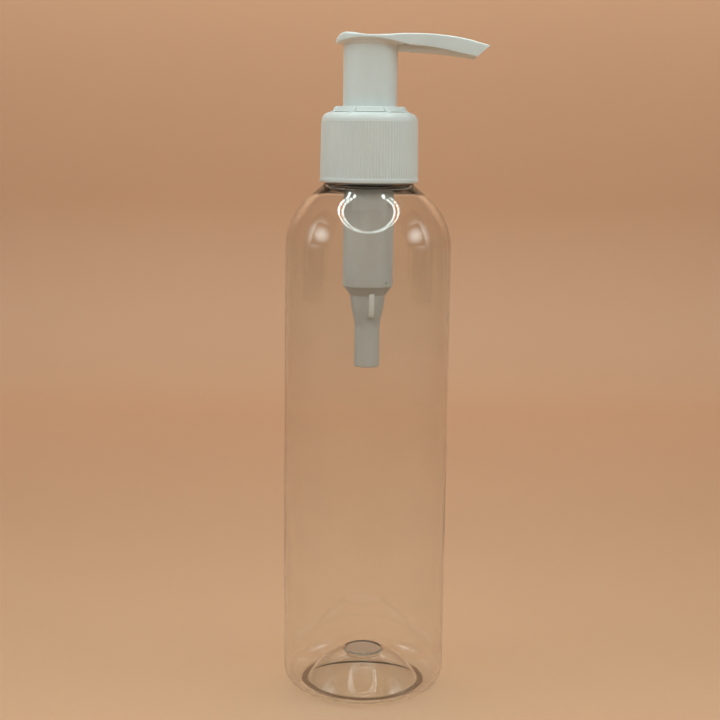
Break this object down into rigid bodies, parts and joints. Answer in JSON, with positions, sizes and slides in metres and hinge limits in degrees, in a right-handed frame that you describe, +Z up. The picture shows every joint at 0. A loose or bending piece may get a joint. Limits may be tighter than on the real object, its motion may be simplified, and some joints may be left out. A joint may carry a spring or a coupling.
{
  "type": "soap pump dispenser",
  "caption": "Clear round-shouldered bottle with a white screw-on lotion pump, whose spring-loaded head draws soap up and out of a curved spout.",
  "frame": {"origin": "on the bottle's axis, in the plane of the standing ring", "axes": "+Z up along the bottle's axis, +X the way the spout points"},
  "size_m": [0.057, 0.0474, 0.1903],
  "materials": {
    "clear_bottle": "gloss",
    "white_pp": "gloss",
    "natural_pp": "satin",
    "white_foam": "matte",
    "white_pe": "satin",
    "spring_steel": "satin",
    "ball_glass": "gloss"
  },
  "bodies": {
    "bottle": {"bottle": "clear_bottle"},
    "pump_core": {"pump_housing": "natural_pp", "neck_gasket": "white_foam", "lock_collar": "white_pp", "return_spring": "spring_steel"},
    "closure": {"closure": "white_pp"},
    "ball": {"inlet_ball": "ball_glass"},
    "piston": {"piston": "white_pe"},
    "stem": {"upper_stem": "natural_pp", "lower_stem": "natural_pp"},
    "head": {"actuator_head": "white_pp"}
  },
  "joints": [
    {"name": "pump_lift", "type": "slide", "parent": "bottle", "child": "pump_core", "axis": [0, 0, 1], "range_m": [0, 0.00476]},
    {"name": "closure_turn", "type": "hinge", "parent": "pump_core", "child": "closure", "pos_m": [0, 0, 0.158], "axis": [0, 0, 1], "range_deg": [0, 540]},
    {"name": "ball_lift", "type": "slide", "parent": "pump_core", "child": "ball", "axis": [0, 0, 1], "range_m": [0, 0.0015]},
    {"name": "piston_stroke", "type": "slide", "parent": "pump_core", "child": "piston", "axis": [0, 0, -1], "range_m": [0, 0.0135], "stiffness_N_per_m": 700, "springref_m": -0.01, "deforming": ["return_spring"]},
    {"name": "valve_gap", "type": "slide", "parent": "piston", "child": "stem", "axis": [0, 0, -1], "range_m": [0, 0.001], "stiffness_N_per_m": 700, "springref_m": -0.002},
    {"name": "head_turn", "type": "hinge", "parent": "stem", "child": "head", "pos_m": [0, 0, 0.18], "axis": [0, 0, 1], "continuous": true}
  ],
  "couplings": [
    {"joint": "closure_turn", "follows": "pump_lift", "rad_per_m": 1979}
  ]
}
